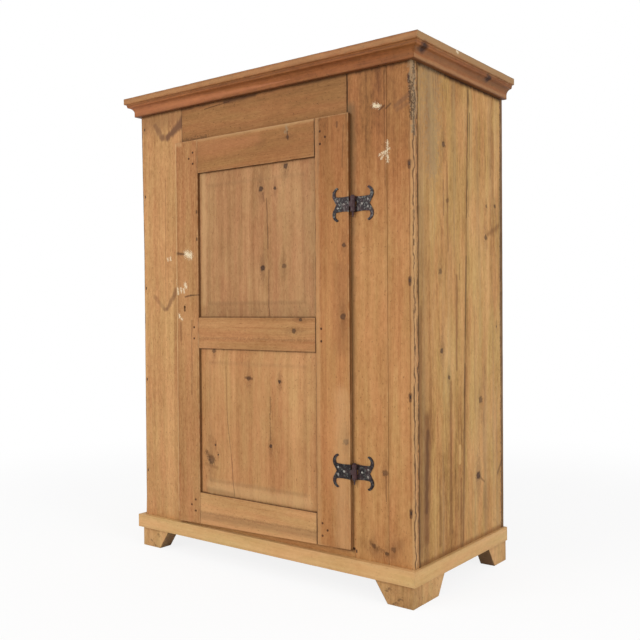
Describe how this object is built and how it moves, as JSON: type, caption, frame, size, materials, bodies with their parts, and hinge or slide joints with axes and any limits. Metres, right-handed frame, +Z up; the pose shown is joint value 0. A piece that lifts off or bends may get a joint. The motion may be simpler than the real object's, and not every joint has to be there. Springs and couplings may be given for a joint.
{
  "type": "wardrobe",
  "caption": "Free-standing pine wardrobe with a panelled door on horned iron hinges, a mitred cornice, a plinth strip and bracket feet, for hanging and storing clothes.",
  "frame": {"origin": "on the floor, under the middle of the outline", "axes": "+X along the front to the hinge side, +Y to the back, +Z up; the front faces -Y"},
  "size_m": [1.287, 0.664, 1.7],
  "materials": {
    "front_pine": "old waxed pine",
    "door_pine": "old waxed pine",
    "side_pine": "weathered pine",
    "cornice_pine": "darker stained pine",
    "plinth_pine": "newer pale pine",
    "foot_pine": "pale pine",
    "inside_pine": "bare pine",
    "peg_wood": "dark hardwood",
    "hinge_iron": "forged black iron",
    "nail_iron": "rusted iron",
    "lock_iron": "dull iron"
  },
  "bodies": {
    "case": {"back_board_1": "inside_pine", "back_board_2": "inside_pine", "back_board_3": "inside_pine", "back_board_4": "inside_pine", "back_board_5": "inside_pine", "bottom_rail": "front_pine", "cornice_front": "cornice_pine", "cornice_left": "cornice_pine", "cornice_right": "cornice_pine", "floor_board_front": "inside_pine", "floor_board_rear": "inside_pine", "floor_cleat_left": "inside_pine", "floor_cleat_right": "inside_pine", "frieze_rail": "front_pine", "front_left_foot_front_bracket": "foot_pine", "front_left_foot_side_bracket": "foot_pine", "front_plank_nails": "nail_iron", "front_right_foot_front_bracket": "foot_pine", "front_right_foot_side_bracket": "foot_pine", "hanging_rail": "inside_pine", "hat_shelf": "inside_pine", "hinge_frame_nails": "hinge_iron", "left_front_plank": "front_pine", "left_side_front_board": "side_pine", "left_side_rear_board": "side_pine", "lock_strike": "lock_iron", "lower_hinge_frame_leaf": "hinge_iron", "lower_hinge_pin": "hinge_iron", "plinth_front": "plinth_pine", "plinth_left": "plinth_pine", "plinth_right": "plinth_pine", "rail_socket_left": "inside_pine", "rail_socket_right": "inside_pine", "rear_left_foot_bracket": "foot_pine", "rear_right_foot_bracket": "foot_pine", "right_front_plank_inner": "front_pine", "right_front_plank_outer": "front_pine", "right_side_front_board": "side_pine", "right_side_rear_board": "side_pine", "shelf_cleat_left": "inside_pine", "shelf_cleat_right": "inside_pine", "top_board_front": "inside_pine", "top_board_rear": "inside_pine", "upper_hinge_frame_leaf": "hinge_iron", "upper_hinge_pin": "hinge_iron"},
    "door": {"door_bottom_rail": "door_pine", "door_hinge_stile": "door_pine", "door_latch_stile": "door_pine", "door_lower_panel": "door_pine", "door_mid_rail": "door_pine", "door_pegs": "peg_wood", "door_top_rail": "door_pine", "door_upper_panel": "door_pine", "hinge_door_nails": "hinge_iron", "lock_case": "lock_iron", "lock_screws": "lock_iron", "lower_hinge_door_leaf": "hinge_iron", "upper_hinge_door_leaf": "hinge_iron"},
    "bolt": {"lock_bolt": "lock_iron"}
  },
  "joints": [
    {"name": "door_swing", "type": "hinge", "parent": "case", "child": "door", "pos_m": [0.38785, -0.29465, 0.806], "axis": [0, 0, 1], "range_deg": [0, 155]},
    {"name": "bolt_throw", "type": "slide", "parent": "door", "child": "bolt", "axis": [-1, 0, 0], "range_m": [0, 0.013]}
  ]
}
